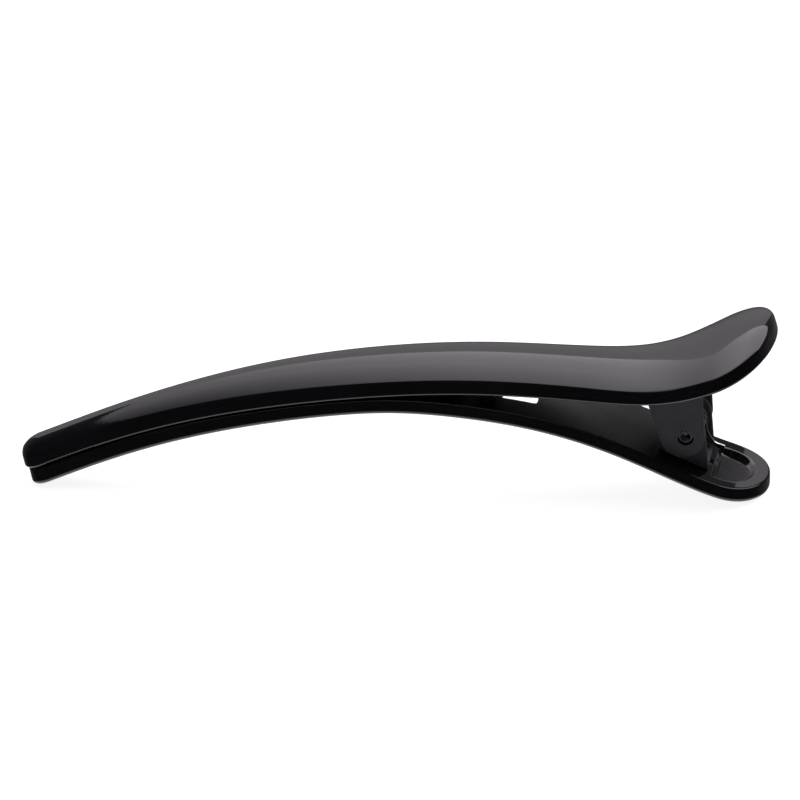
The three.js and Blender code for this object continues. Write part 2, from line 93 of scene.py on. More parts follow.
# ---- lines of the arms ----
def smooth_line(points):
    """Natural cubic spline through (x, value) points."""
    x, v = (np.array(c, float) for c in zip(*points))
    h = np.diff(x)
    n = len(x)
    a = np.eye(n)
    b = np.zeros(n)
    for i in range(1, n - 1):
        a[i, i - 1 : i + 2] = h[i - 1], 2 * (h[i - 1] + h[i]), h[i]
        b[i] = 6 * ((v[i + 1] - v[i]) / h[i] - (v[i] - v[i - 1]) / h[i - 1])
    m = np.linalg.solve(a, b)

    def line(at):
        at = np.asarray(at, float)
        i = np.clip(np.searchsorted(x, at) - 1, 0, n - 2)
        s = h[i]
        p, q = (x[i + 1] - at) / s, (at - x[i]) / s
        return p * v[i] + q * v[i + 1] + ((p**3 - p) * m[i] + (q**3 - q) * m[i + 1]) * s * s / 6

    return line


def slope_of(line, x):
    return (line(x + 0.01) - line(x - 0.01)) / 0.02


def beside(line, x, out):
    """(x, z) at a distance out from a side-view line, leaning part of the way square to it."""
    slope = slope_of(line, x)
    lean = SIDE_LEAN * slope
    rise = out * np.hypot(1, slope) / (1 + lean * slope)
    return x - rise * lean, line(x) + rise


def smoothstep(x, low, high):
    t = np.clip((np.asarray(x, float) - low) / (high - low), 0, 1)
    return t * t * (3 - 2 * t)


lip_line = smooth_line([
    (-JAW_REACH, JAW_TIP_Z),
    (-0.86 * JAW_REACH, JAW_TIP_Z + 0.36 * JAW_RISE),
    (-0.655 * JAW_REACH, JAW_TIP_Z + 0.745 * JAW_RISE),
    (-0.45 * JAW_REACH, JAW_TIP_Z + 0.955 * JAW_RISE),
    (-0.29 * JAW_REACH, CREST_Z),
    (-0.145 * JAW_REACH, CREST_Z - 0.085 * TAB_RISE),
    (-0.05 * JAW_REACH, CREST_Z - 0.065 * TAB_RISE),
    (0, CREST_Z + 0.09 * TAB_RISE),
    (0.43 * TAB_REACH, CREST_Z + 0.44 * TAB_RISE),
    (TAB_REACH, CREST_Z + TAB_RISE),
])
PIN_GROUND = 0.33 * CREST_Z
HINGE_SPACE = float(lip_line(0)) - PIN_GROUND - JAW_GAP


def follow_lip(x, drop):
    return x, float(lip_line(x)) - JAW_GAP - drop * HINGE_SPACE


lower_top = smooth_line(
    [follow_lip(-PARTING - s * (JAW_REACH - PARTING), 0) for s in (1, 0.8, 0.6, 0.4, 0.2, 0)]
    + [follow_lip(-s * PARTING, d) for s, d in ((0.82, 0.022), (0.62, 0.113), (0.39, 0.26), (0.16, 0.562))]
    + [(0, PIN_GROUND), (0.5 * LEVER_REACH, LEVER_TIP_Z + 0.075 * CREST_Z), (LEVER_REACH, LEVER_TIP_Z)]
)
upper_half = smooth_line([
    (-JAW_REACH, JAW_TIP_HALF),
    (-0.86 * JAW_REACH, JAW_TIP_HALF + 0.1),
    (-0.55 * JAW_REACH, MID_JAW_HALF),
    (-0.25 * JAW_REACH, 0.93 * WAIST_HALF),
    (-0.1 * JAW_REACH, 1.05 * WAIST_HALF),
    (0, WAIST_HALF + 0.6 * (TAB_HALF - WAIST_HALF)),
    (0.45 * TAB_REACH, TAB_HALF),
    (TAB_REACH, TAB_HALF),
])
lower_half = smooth_line([
    (-JAW_REACH, JAW_TIP_HALF - ARM_STEP_IN),
    (-0.86 * JAW_REACH, JAW_TIP_HALF + 0.1 - ARM_STEP_IN),
    (-0.55 * JAW_REACH, MID_JAW_HALF - ARM_STEP_IN),
    (-0.25 * JAW_REACH, 0.93 * WAIST_HALF - ARM_STEP_IN),
    (0, LEVER_HALF),
    (LEVER_REACH, LEVER_HALF),
])
PIN_Z = PIN_GROUND + PIN_ABOVE_LOWER


def crown_of(x):
    return TIP_CROWN + (CROWN - TIP_CROWN) * smoothstep(np.asarray(x) + JAW_REACH, 0, 0.45 * JAW_REACH)


# ---- mesh helpers ----
def to_row(points):
    """Points in the arms' frame in mm, as metres in the row frame."""
    p = np.array(points, float).reshape(-1, 3)
    p[:, 0] += PIN_X
    return p * MM


def new_object(name, verts, faces, material, smooth=True, weld=0.0):
    mesh = bpy.data.meshes.new(name)
    mesh.from_pydata([tuple(v) for v in verts], [], [tuple(f) for f in faces])
    bm = bmesh.new()
    bm.from_mesh(mesh)
    if weld:
        bmesh.ops.remove_doubles(bm, verts=bm.verts, dist=weld)
        bmesh.ops.dissolve_degenerate(bm, edges=bm.edges, dist=weld)
    bmesh.ops.recalc_face_normals(bm, faces=bm.faces)
    bm.to_mesh(mesh)
    bm.free()
    mesh.validate()
    obj = bpy.data.objects.new(name, mesh)
    bpy.context.scene.collection.objects.link(obj)
    mesh.materials.append(material)
    mesh.polygons.foreach_set("use_smooth", [smooth] * len(mesh.polygons))
    return obj


def sharp_edges(obj, degrees):
    """Marks the edges that turn more than this as sharp, and shades the rest smooth."""
    bm = bmesh.new()
    bm.from_mesh(obj.data)
    limit = math.radians(degrees)
    for e in bm.edges:
        e.smooth = not (len(e.link_faces) == 2 and e.calc_face_angle(0) > limit)
    bm.to_mesh(obj.data)
    bm.free()


def bake_modifiers(obj):
    graph = bpy.context.evaluated_depsgraph_get()
    mesh = bpy.data.meshes.new_from_object(obj.evaluated_get(graph))
    obj.modifiers.clear()
    obj.data = mesh
    return obj


def edge_round(obj, width, segments=3, angle=40):
    m = obj.modifiers.new("edges", "BEVEL")
    m.width = width * MM
    m.segments = segments
    m.limit_method = "ANGLE"
    m.angle_limit = math.radians(angle)
    m.harden_normals = False
    return bake_modifiers(obj)


def boolean(obj, other, operation):
    m = obj.modifiers.new(operation, "BOOLEAN")
    m.operation = operation
    m.solver = "EXACT"
    m.object = other
    bake_modifiers(obj)
    bpy.data.objects.remove(other)
    return obj


def join(objects, name):
    """One object from several, keeping the first one's materials."""
    bpy.ops.object.select_all(action="DESELECT")
    for o in objects:
        o.select_set(True)
    bpy.context.view_layer.objects.active = objects[0]
    bpy.ops.object.join()
    objects[0].name = name
    objects[0].data.name = name
    return objects[0]


# ---- moulded arms: rings that follow the outline, from the top's middle line round to the inside ----
class Arm:
    def __init__(self, start, end, start_round, end_round, half, powers):
        self.start, self.end = start, end
        self.start_round, self.end_round = start_round, end_round
        self.half, self.powers = half, powers

    def ends(self, x, powers=(1, 1)):
        """Half-width factor at x: 0 at either round end and 1 between them."""
        tip = np.clip(1 - (x - self.start) / self.start_round, 0, 1)
        tail = np.clip(1 - (self.end - x) / self.end_round, 0, 1)
        return (1 - tip**2.2) ** (powers[0] / 2) * (1 - tail**2.2) ** (powers[1] / 2)

    def outline(self, fine):
        """Closed plan outline, counter-clockwise from the tip, with its inward normals."""
        a = np.linspace(0, np.pi / 2, 26)
        xs = [self.start + self.start_round * (1 - np.cos(a[:-1]))]
        x = self.start + self.start_round
        body = []
        while x < self.end - self.end_round:
            body.append(x)
            x += next((step for low, high, step in fine if low <= x < high), 0.75)
        xs.append(np.array(body))
        xs.append(self.end - self.end_round * (1 - np.cos(np.linspace(np.pi / 2, 0, 34))))
        x = np.concatenate(xs)
        y = self.half(x) * self.ends(x)
        px = np.concatenate([x, x[-2:0:-1]])
        py = np.concatenate([-y, y[-2:0:-1]])
        dx, dy = np.roll(px, -1) - np.roll(px, 1), np.roll(py, -1) - np.roll(py, 1)
        length = np.hypot(dx, dy)
        return px, py, -dy / length, dx / length

    def spine(self, x):
        """Where an outline point's ring closes on the middle line."""
        keep, power = 0.375, 1.6
        lo, hi = 2 * self.start_round, 2 * self.end_round
        t = np.clip((x - self.start) / lo, 0, 1)
        out = np.where(t < 1, self.start + lo * (keep + (1 - keep) * t**power), x)
        u = np.clip((self.end - x) / hi, 0, 1)
        return np.where(u < 1, self.end - hi * (keep + (1 - keep) * u**power), out)

    def crowned(self, x, y):
        """Share of the crown's height at a plan point: 1 on the middle line and 0 at the outline."""
        across = y / np.maximum(self.half(x) * self.ends(x), 1e-6)
        return self.ends(x, self.powers) * (1 - np.clip(across, -1, 1) ** 2)

    def build(self, name, line, rings, material, fine=(), floor=None):
        """rings: (inset from the outline, share of the way to the spine, out(x, y, inset))."""
        px, py, nx, ny = self.outline(fine)
        spine = self.spine(px)
        count = len(px)
        verts = []
        for inset, to_spine, out in rings:
            x, y = px + nx * inset, py + ny * inset
            x, y = x + (spine - x) * to_spine, y * (1 - to_spine)
            rx, rz = beside(line, x, out(x, y, inset) * np.ones(count))
            if floor is not None:
                rz = np.maximum(rz, floor)
            verts.append(np.stack([rx, y, rz], 1))
        faces = []
        for r in range(len(rings) - 1):
            for s in range(count):
                t = (s + 1) % count
                faces.append((r * count + s, r * count + t, (r + 1) * count + t, (r + 1) * count + s))
        return new_object(name, to_row(np.concatenate(verts)), faces, material, weld=2e-7)


def drop(d, radius):
    """How far a rounded edge falls at a distance d in from its side."""
    return radius - np.sqrt(np.maximum(radius**2 - np.maximum(radius - d, 0) ** 2, 0))


# ---- materials ----
class Nodes:
    """Short calls for building a material's node tree."""

    def __init__(self, name):
        self.material = bpy.data.materials.new(name)
        self.material.use_nodes = True
        self.tree = self.material.node_tree
        self.shader = self.tree.nodes["Principled BSDF"]
        self.coords = self.tree.nodes.new("ShaderNodeTexCoord").outputs["Object"]

    def add(self, kind, inputs=(), **settings):
        node = self.tree.nodes.new(kind)
        for key, value in settings.items():
            setattr(node, key, value)
        for key, value in dict(inputs).items():
            if hasattr(value, "node"):
                self.tree.links.new(value, node.inputs[key])
            else:
                node.inputs[key].default_value = value
        return node

    def stretched(self, scale):
        return self.add("ShaderNodeMapping", {"Vector": self.coords, "Scale": scale}).outputs[0]

    def noise(self, scale, detail=4.0, roughness=0.55, vector=None):
        inputs = {"Vector": vector or self.coords, "Scale": scale, "Detail": detail, "Roughness": roughness}
        return self.add("ShaderNodeTexNoise", inputs).outputs["Fac"]

    def between(self, value, low, high, to_low, to_high):
        inputs = {"Value": value, 1: low, 2: high, 3: to_low, 4: to_high}
        return self.add("ShaderNodeMapRange", inputs).outputs[0]

    def math(self, operation, a, b):
        return self.add("ShaderNodeMath", {0: a, 1: b}, operation=operation).outputs[0]

    def tint(self, factor, dark, light):
        node = self.add("ShaderNodeMix", data_type="RGBA")
        self.tree.links.new(factor, node.inputs[0])
        node.inputs[6].default_value = (*dark, 1)
        node.inputs[7].default_value = (*light, 1)
        return node.outputs[2]

    def bump(self, height, strength, distance, normal=None):
        inputs = {"Height": height, "Strength": strength, "Distance": distance}
        if normal is not None:
            inputs["Normal"] = normal
        return self.add("ShaderNodeBump", inputs).outputs[0]

    def set(self, **values):
        names = {
            "color": "Base Color", "rough": "Roughness", "metal": "Metallic", "normal": "Normal",
            "ior": "IOR", "specular": "Specular IOR Level",
        }
        for key, value in values.items():
            socket = self.shader.inputs[names[key]]
            if hasattr(value, "node"):
                self.tree.links.new(value, socket)
            else:
                socket.default_value = (*value, 1) if isinstance(value, tuple) else value
        return self.material


def gloss_plastic():
    """Polished black moulding: flow haze, faint sink waves, hairline scuffs and fine dust."""
    n = Nodes("gloss_black_plastic")
    haze = n.noise(55.0, 5.0, 0.6)
    flow = n.noise(90.0, 3.0, 0.5, n.stretched((0.35, 1.6, 1.6)))
    scuff = n.noise(900.0, 2.0, 0.5, n.stretched((0.12, 1.0, 1.0)))
    hairline = n.between(scuff, 0.66, 0.7, 0.0, 1.0)
    rough = n.between(haze, 0.3, 0.75, 0.03, 0.07)
    rough = n.math("ADD", rough, n.math("MULTIPLY", hairline, 0.05))
    color = n.tint(n.between(haze, 0.3, 0.8, 0.0, 1.0), (0.0032, 0.0030, 0.0036), (0.0062, 0.0057, 0.0068))
    waves = n.bump(flow, 0.06, 0.0006)
    fine = n.bump(n.noise(2600.0, 2.0), 0.035, 0.00006, waves)
    return n.set(color=color, rough=rough, ior=1.49, normal=fine)


def rest_plastic():
    """The same moulding where the tool was left with drawn lines: rougher, with fine streaks."""
    n = Nodes("streaked_black_plastic")
    streak = n.noise(1500.0, 4.0, 0.65, n.stretched((0.16, 1.0, 1.0)))
    patch = n.noise(260.0, 3.0, 0.6)
    rough = n.between(streak, 0.35, 0.7, 0.3, 0.5)
    color = n.tint(n.between(patch, 0.35, 0.7, 0.0, 1.0), (0.004, 0.0035, 0.0045), (0.010, 0.009, 0.011))
    lines = n.bump(streak, 0.55, 0.00016)
    return n.set(color=color, rough=rough, ior=1.49, specular=0.22, normal=n.bump(patch, 0.25, 0.0003, lines))


def inner_plastic():
    """The inside faces: the same moulding, rougher, left with the tool's fine eroded texture; its lighter
    colour is painted light reaching it between the arms.
    """
    n = Nodes("textured_plastic_painted_lighter")
    spark = n.noise(3000.0, 3.0, 0.6)
    patch = n.noise(180.0, 3.0, 0.6)
    rough = n.between(patch, 0.3, 0.7, 0.28, 0.36)
    # painted light: this colour is lighter than the gloss moulding's, standing in for light that reaches the
    # inside face between the arms
    color = n.tint(n.between(patch, 0.35, 0.7, 0.0, 1.0), (0.0055, 0.005, 0.006), (0.010, 0.009, 0.011))
    return n.set(color=color, rough=rough, ior=1.49, normal=n.bump(spark, 0.22, 0.00005))


def satin_steel():
    """Stamped steel with a thin black finish: fine grain and slight mottling."""
    n = Nodes("satin_black_steel")
    grain = n.noise(5200.0, 2.0, 0.6)
    mottle = n.noise(420.0, 4.0, 0.6)
    base = n.between(mottle, 0.3, 0.7, 0.0, 1.0)
    color = n.tint(base, (0.060, 0.057, 0.066), (0.074, 0.071, 0.081))
    rough = n.between(grain, 0.3, 0.7, 0.40, 0.52)
    return n.set(color=color, rough=rough, metal=0.55, normal=n.bump(grain, 0.10, 0.00003))


def pin_steel():
    """Bright turned pin: rings on its ends, faint machining along its side, a few dark specks."""
    n = Nodes("pin_steel")
    rings = n.noise(2400.0, 2.0, 0.5)
    speck = n.between(n.noise(1500.0, 1.0), 0.66, 0.72, 0.0, 1.0)
    color = n.tint(speck, (0.52, 0.51, 0.53), (0.10, 0.098, 0.10))
    rough = n.between(rings, 0.3, 0.7, 0.38, 0.5)
    return n.set(color=color, rough=rough, metal=1.0, normal=n.bump(rings, 0.2, 0.00006))


def spring_steel():
    """Drawn, nickel-bright wire: fine draw lines and slight stain."""
    n = Nodes("spring_steel")
    draw = n.noise(3800.0, 2.0, 0.5)
    stain = n.noise(500.0, 3.0, 0.6)
    color = n.tint(n.between(stain, 0.35, 0.7, 0.0, 1.0), (0.62, 0.61, 0.63), (0.40, 0.385, 0.38))
    rough = n.between(draw, 0.3, 0.7, 0.14, 0.28)
    return n.set(color=color, rough=rough, metal=1.0, normal=n.bump(draw, 0.08, 0.00003))


PLASTIC, STREAKED, INNER, SATIN, PIN, SPRING = (
    gloss_plastic(), rest_plastic(), inner_plastic(), satin_steel(), pin_steel(), spring_steel()
)

# ---- upper arm ----
INSIDE_BOX = 0.015  # keeps the tab's sides within the faceted solid's width
upper = Arm(
    -JAW_REACH + END_CUT * JAW_TIP_HALF, TAB_REACH - END_CUT * TAB_END_RADIUS,
    JAW_TIP_HALF * (1 - END_CUT), TAB_END_RADIUS * (1 - END_CUT),
    lambda x: np.minimum(upper_half(x), TAB_HALF - INSIDE_BOX), (1.25, 1.1),
)
EDGE = 0.4  # rounding where the crown turns into the side
INNER_ROUND = 0.55
LIP_INNER_ROUND = 0.15
ROOF_BLEND = 0.5  # how far in from the wall the roof's rings stop following the outline
TEETH = (-94.0, -86.5, 0.62, 0.13)  # grip teeth on the jaw tip's lip: from, to, pitch, height


def upper_crown(x, y, inset):
    return LIP_HEIGHT + crown_of(x) * upper.crowned(x, y) - drop(inset, EDGE)


def upper_roof(x, y, inset):
    roof = LIP_HEIGHT + crown_of(x) * upper.crowned(x, y) - ROOF_WALL
    return roof - drop(inset - LIP_WALL, INNER_ROUND)


def teeth(x, y):
    """Fine cross grooves on the lip near the jaw tip."""
    first, last, pitch, height = TEETH
    inside = smoothstep(x, first, first + 0.4) * (1 - smoothstep(x, last - 0.4, last))
    phase = ((x + 0.35 * np.abs(y)) / pitch) % 1
    return height * inside * (1 - np.abs(2 * phase - 1))


def from_roof(share):
    def out(x, y, inset):
        top = upper_roof(x, y, LIP_WALL)
        return LIP_INNER_ROUND + (top - LIP_INNER_ROUND) * share
    return out


def from_crown(share):
    def out(x, y, inset):
        top = upper_crown(x, y, 0.0)
        return LIP_ROUND + (top - LIP_ROUND) * share
    return out


def lip_outside(a):
    """The lip's outer rounding, at an angle from its side down to its face."""
    def out(x, y, inset):
        return LIP_ROUND * (1 - math.sin(a)) + teeth(x, y) * math.sin(a)
    return LIP_ROUND * (1 - math.cos(a)), 0, out


def lip_face(x, y, inset):
    return teeth(x, y)


def lip_inside(a):
    """The lip's inner rounding, at an angle from its face up to the hollow's wall."""
    def out(x, y, inset):
        return LIP_INNER_ROUND * (1 - math.cos(a)) + teeth(x, y) * math.cos(a)
    return LIP_WALL - LIP_INNER_ROUND + LIP_INNER_ROUND * math.sin(a), 0, out


def upper_rings():
    """Down the crown and side, under the lip and up to the roof of the hollow."""
    crown_steps = (1.2, 0.95, 0.76, 0.62, 0.5, 0.41, 0.33, 0.26, 0.19, 0.13, 0.08, 0.04, 0.015, 0)
    rings = [(crown_steps[0], t, upper_crown) for t in np.linspace(1, 0.06, 15)]
    rings += [(d, 0, upper_crown) for d in crown_steps]
    rings += [(0, 0, from_crown(s)) for s in (0.75, 0.5, 0.25, 0)]
    rings += [lip_outside(a) for a in np.linspace(0, np.pi / 2, 8)[1:]]
    rings += [(d, 0, lip_face) for d in (0.7, 0.95, 1.2, LIP_WALL - LIP_INNER_ROUND)]
    rings += [lip_inside(a) for a in np.linspace(0, np.pi / 2, 5)[1:]]
    rings += [(LIP_WALL, 0, from_roof(s)) for s in (0.35, 0.7, 1)]
    rings += [(LIP_WALL + d, 0, upper_roof) for d in (0.02, 0.06, 0.13, 0.22, 0.35, ROOF_BLEND)]
    rings += [(LIP_WALL + ROOF_BLEND, t, upper_roof) for t in (0.15, 0.3, 0.45, 0.6, 0.75, 0.88, 1)]
    return rings


upper_arm = upper.build("upper_arm_moulding", lip_line, upper_rings(), PLASTIC,
                        fine=((-95, -86, 0.155), (-16, 7, 0.45)))


def strip(name, line, start, end, low, high, half, steps, material):
    """A closed bar that follows a line, from start to end and between two distances out."""
    xs = np.linspace(start, end, steps + 1)
    verts, faces = [], []
    for x in xs:
        width = float(half(x))
        for out, y in ((low, -width), (low, width), (high, width), (high, -width)):
            rx, rz = beside(line, x, out)
            verts.append((rx, y, rz))
    for i in range(steps):
        for j in range(4):
            k = (j + 1) % 4
            faces.append((4 * i + j, 4 * i + k, 4 * i + 4 + k, 4 * i + 4 + j))
    faces += [(0, 1, 2, 3), tuple(4 * steps + j for j in (3, 2, 1, 0))]
    return new_object(name, to_row(verts), faces, material)


def hollow_half(x):
    return (upper_half(x) - LIP_WALL) * upper.ends(x)


def rib_places(first):
    places = []
    x = first
    while x < JAW_REACH - 2 * JAW_TIP_HALF:
        places.append(-x)
        x += RIB_PITCH
    return places


ribs = []
for i, x in enumerate(rib_places(RIB_FIRST + RIB_PITCH / 2)):
    back = x - UPPER_RIB_THICK / 2
    roof = LIP_HEIGHT + 0.5 * float(crown_of(back)) - ROOF_WALL + RIB_SINK
    ribs.append(strip(f"upper_rib_{i}", lip_line, back, x + UPPER_RIB_THICK / 2, RIB_CLEARANCE, roof,
                      lambda x: hollow_half(x) + RIB_SINK, 2, PLASTIC))
upper_ribs = edge_round(join(ribs, "upper_grip_ribs"), 0.18)

# ---- lower arm ----
lower = Arm(
    -JAW_REACH + JAW_OVERHANG + END_CUT * JAW_TIP_HALF, LEVER_REACH - END_CUT * LEVER_END_RADIUS,
    JAW_TIP_HALF * (1 - END_CUT), LEVER_END_RADIUS * (1 - END_CUT), lower_half, (1, 1),
)
TOP_ROUND = 0.2
REST_FRONT = EAR_BACK + REST_SETBACK
REST_SLOPE = 1.5  # width of the slope from the rest's rim down to its floor
REST_SOFTENING = 0.35  # how far out past the rim's inner line that slope starts
FACE_BLEND = 2.4  # how far in from the outline the face's rings stop following it
BOTTOM_BLEND = 1.6


def lower_thick(x):
    return LOWER_THICK + (LOWER_TIP_THICK - LOWER_THICK) * smoothstep(-x, 0.55 * JAW_REACH, JAW_REACH)


def lower_face(x, y, inset):
    """The top face, with its thumb rest: a shallow floor inside a broad, softly dished rim."""
    away = np.where(inset >= 0, inset, 0)
    return -drop(away, TOP_ROUND) - rest_depth(x, y)


def rest_depth(x, y):
    edge = lower.ends(x) * lower_half(x)
    tail = np.clip(1 - (lower.end - x) / lower.end_round, 0, 1)
    reach = np.sqrt((y / lower_half(x)) ** 2 + tail**2.2)
    inside = lower_half(x) * (1 - reach)
    wall_from = REST_RIM - REST_SOFTENING
    wall = smoothstep(inside, wall_from, wall_from + REST_SLOPE)
    return REST_DEPTH * wall * smoothstep(x, REST_FRONT - 0.5, REST_FRONT + 0.15) * (edge > 0)


def lower_side(share):
    def out(x, y, inset):
        low = -lower_thick(x) + LOWER_ROUND
        return -TOP_ROUND + (low + TOP_ROUND) * share
    return out


def lower_edge(a):
    """The lower arm's bottom rounding, at an angle from its side down to its underside."""
    def out(x, y, inset):
        return -lower_thick(x) + LOWER_ROUND * (1 - math.sin(a))
    return LOWER_ROUND * (1 - math.cos(a)), 0, out


def lower_under(x, y, inset):
    return -lower_thick(x)


def lower_rings():
    """Out across the top face, down the side and in across the underside."""
    face_steps = (FACE_BLEND, 2.25, 2.1, 1.95, 1.8, 1.6, 1.3, 0.9, 0.55, TOP_ROUND,
                  0.13, 0.08, 0.04, 0.015, 0)
    rings = [(FACE_BLEND, t, lower_face) for t in np.linspace(1, 0.08, 12)]
    rings += [(d, 0, lower_face) for d in face_steps]
    rings += [(0, 0, lower_side(s)) for s in (0.33, 0.66, 1)]
    rings += [lower_edge(a) for a in np.linspace(0, np.pi / 2, 9)[1:]]
    rings += [(d, 0, lower_under) for d in (1.1, BOTTOM_BLEND)]
    rings += [(BOTTOM_BLEND, t, lower_under) for t in (0.25, 0.5, 0.75, 1)]
    return rings


lower_arm = lower.build("lower_arm_moulding", lower_top, lower_rings(), PLASTIC,
                        fine=((-30, -20, 0.35), (1, 12, 0.16), (-95, -86, 0.4)), floor=0.0)
lower_arm.data.materials.append(STREAKED)
lower_arm.data.materials.append(INNER)
REST_FLOOR_SHOWN = 0.86 * REST_DEPTH
FACE_BAND = 0.45  # how far below the rest's floor a face still counts as the top


def paint_top():
    """Gives the thumb rest's floor its drawn finish, and the inside face its duller one, whose lighter colour
    is painted light.
    """
    for polygon in lower_arm.data.polygons:
        c = polygon.center / MM
        x = np.array([c.x - PIN_X])
        deep = rest_depth(x, np.array([c.y]))[0]
        on_top = c.z > lower_top(x[0]) - REST_DEPTH - FACE_BAND
        if deep > REST_FLOOR_SHOWN and on_top:
            polygon.material_index = 1
        elif c.x - PIN_X < -PIN_RADIUS and on_top and polygon.normal.z > 0.8:
            polygon.material_index = 2


CUT_PAST = 1.0  # how far the cutters reach past the faces that they cut through
window_from = -WINDOW_FRONT
window = strip("window_cutter", lower_top, window_from, window_from + WINDOW_LENGTH,
               -LOWER_THICK - CUT_PAST, CUT_PAST, lambda x: WINDOW_HALF, 4, PLASTIC)
boolean(lower_arm, edge_round(window, 0.5, 4, 60), "DIFFERENCE")
well = strip("well_cutter", lower_top, window_from - WELL_MARGIN, window_from + WINDOW_LENGTH + WELL_MARGIN,
             -LOWER_THICK - CUT_PAST, -WINDOW_FLOOR, lambda x: lower_half(x) - WELL_WALL, 5, PLASTIC)
boolean(lower_arm, edge_round(well, 0.35, 3, 60), "DIFFERENCE")
paint_top()
sharp_edges(lower_arm, 50)

ribs = []
for i, x in enumerate(rib_places(RIB_FIRST)):
    back = x - LOWER_RIB_THICK / 2
    ribs.append(strip(f"lower_rib_{i}", lower_top, back, back + LOWER_RIB_THICK, -RIB_SINK, LOWER_RIB_HEIGHT,
                      lambda x: hollow_half(x) - RIB_CLEARANCE, 3, PLASTIC))
lower_ribs = edge_round(join(ribs, "lower_grip_ribs"), 0.3)


# ---- hinge brackets ----
def arc(cx, cz, radius, start, end, count):
    angles = np.linspace(start, end, count)
    return [(cx + radius * math.cos(a), cz + radius * math.sin(a)) for a in angles]


def ear_outline(line, out, front, back, side):
    """Side-view outline of an ear: round about the pin, running out to its plate."""
    cx, cz = -EAR_FORWARD, PIN_Z
    corner = np.array([float(v) for v in beside(line, -front, out)])
    reach = corner - (cx, cz)
    length = math.hypot(*reach)
    tangent = math.atan2(reach[1], reach[0]) + side * math.acos(EAR_RADIUS / length)
    stop = 2 * math.pi if side > 0 else 0.0
    tangent %= 2 * math.pi
    points = [tuple(corner)] + arc(cx, cz, EAR_RADIUS, tangent, stop, 56)
    for x in np.linspace(back, -front, 13)[:-1]:
        points.append(tuple(float(v) for v in beside(line, x, out)))
    return points


FLAT_FROM = 2.2  # where a plate's flat face starts, in widths of its rounded edge


def plate(name, outline, hole_radius, y, thickness, bevel, material):
    """A flat plate in the XZ plane, with rounded edges all round and round its hole about the pin."""
    rim = np.array(outline)
    to_next = np.roll(rim, -1, axis=0) - rim
    to_next /= np.linalg.norm(to_next, axis=1)[:, None]
    along = to_next + np.roll(to_next, 1, axis=0)
    along /= np.linalg.norm(along, axis=1)[:, None]
    outward = np.stack([along[:, 1], -along[:, 0]], axis=1)
    centre = np.array([0, PIN_Z])
    if np.mean(np.sum(outward * (rim - centre), axis=1)) < 0:
        outward = -outward
    turned = rim - centre
    turned /= np.linalg.norm(turned, axis=1)[:, None]
    sections = []
    steps = np.linspace(0, math.pi / 2, 4)
    for face in (-1, 1):
        loops = [(True, bevel * (1 - math.cos(a)), bevel * (1 - math.sin(a))) for a in steps]
        loops += [(True, FLAT_FROM * bevel, 0), (False, FLAT_FROM * bevel, 0)]
        loops += [(False, bevel * (1 - math.cos(a)), bevel * (1 - math.sin(a))) for a in steps[::-1]]
        loops = [(inner, d, face * (thickness / 2 - rise)) for inner, d, rise in loops]
        sections += loops if face < 0 else loops[::-1]
    count, verts, faces = len(rim), [], []
    for inner, d, depth in sections:
        ring = centre + turned * (hole_radius + d) if inner else rim - outward * d
        verts += [(x, y + thickness / 2 + depth, z) for x, z in ring]
    for r in range(len(sections)):
        for i in range(count):
            j, up = (i + 1) % count, (r + 1) % len(sections)
            faces.append((r * count + i, r * count + j, up * count + j, up * count + i))
    return new_object(name, to_row(verts), faces, material, weld=1e-7)


BRACKET_ROUND, WEB_INSET = 0.1, 0.02


def hinge_bracket(name, line, low, front, back, side, ears_half, hole_radius):
    """A web along an arm's line and two ears that stand down (side 1) or up (-1) from it."""
    out = low + SHEET if side > 0 else low
    outline = ear_outline(line, out, front, back, side)
    web = strip(name + "_web", line, -front, back, low, low + SHEET,
                lambda x: ears_half - WEB_INSET, 14, SATIN)
    edge_round(web, BRACKET_ROUND, 2)
    ears = [plate(f"{name}_ear_{i}", outline, hole_radius, y, SHEET, BRACKET_ROUND, SATIN)
            for i, y in enumerate((ears_half - SHEET, -ears_half))]
    obj = join([web] + ears, name)
    sharp_edges(obj, 38)
    for polygon in obj.data.polygons:
        polygon.use_smooth = abs(polygon.normal.y) < 0.999
    return obj


upper_bracket = hinge_bracket("upper_bracket_pressing", lip_line, UPPER_PLATE_IN, UPPER_EAR_FRONT,
                              EAR_BACK + EAR_BACK_LEAN, 1, UPPER_EARS_HALF, PIN_RADIUS + PIN_LOOSE)
lower_bracket = hinge_bracket("lower_bracket_pressing", lower_top, SEAT_GAP, LOWER_EAR_FRONT,
                              EAR_BACK, -1, LOWER_EARS_HALF, PIN_RADIUS + PIN_TIGHT)


# ---- pin, stakes and spring ----
def lathe(name, profile, place, material, sides=64):
    """A closed round piece from (radius, distance) points; place is its matrix in mm."""
    verts, faces = [], []
    for radius, along in profile:
        for i in range(sides):
            a = 2 * math.pi * i / sides
            verts.append(place @ Vector((radius * math.cos(a), radius * math.sin(a), along)))
    for r in range(len(profile) - 1):
        for i in range(sides):
            j = (i + 1) % sides
            faces.append((r * sides + i, r * sides + j, (r + 1) * sides + j, (r + 1) * sides + i))
    obj = new_object(name, to_row([tuple(v) for v in verts]), faces, material, weld=1e-7)
    sharp_edges(obj, 40)
    return obj


def pin_profile():
    """Turned ends: a small chamfer, a raised ring and a deep dish."""
    end = [(0, -0.66), (0.22, -0.64), (0.42, -0.54), (0.58, -0.32), (0.7, -0.1), (0.78, -0.01),
           (0.88, 0), (0.95, -0.03), (1, -0.1)]
    low = [(r * PIN_RADIUS, -(PIN_END + d)) for r, d in end]
    high = [(r * PIN_RADIUS, PIN_END + d) for r, d in reversed(end)]
    return low + high


hinge_pin = lathe("hinge_pin_turned", pin_profile(),
                  Matrix.Translation((0, 0, PIN_Z)) @ Matrix.Rotation(-math.pi / 2, 4, "X"), PIN)


STAKE_SHANK, STAKE_SUNK = 0.7, 1.0


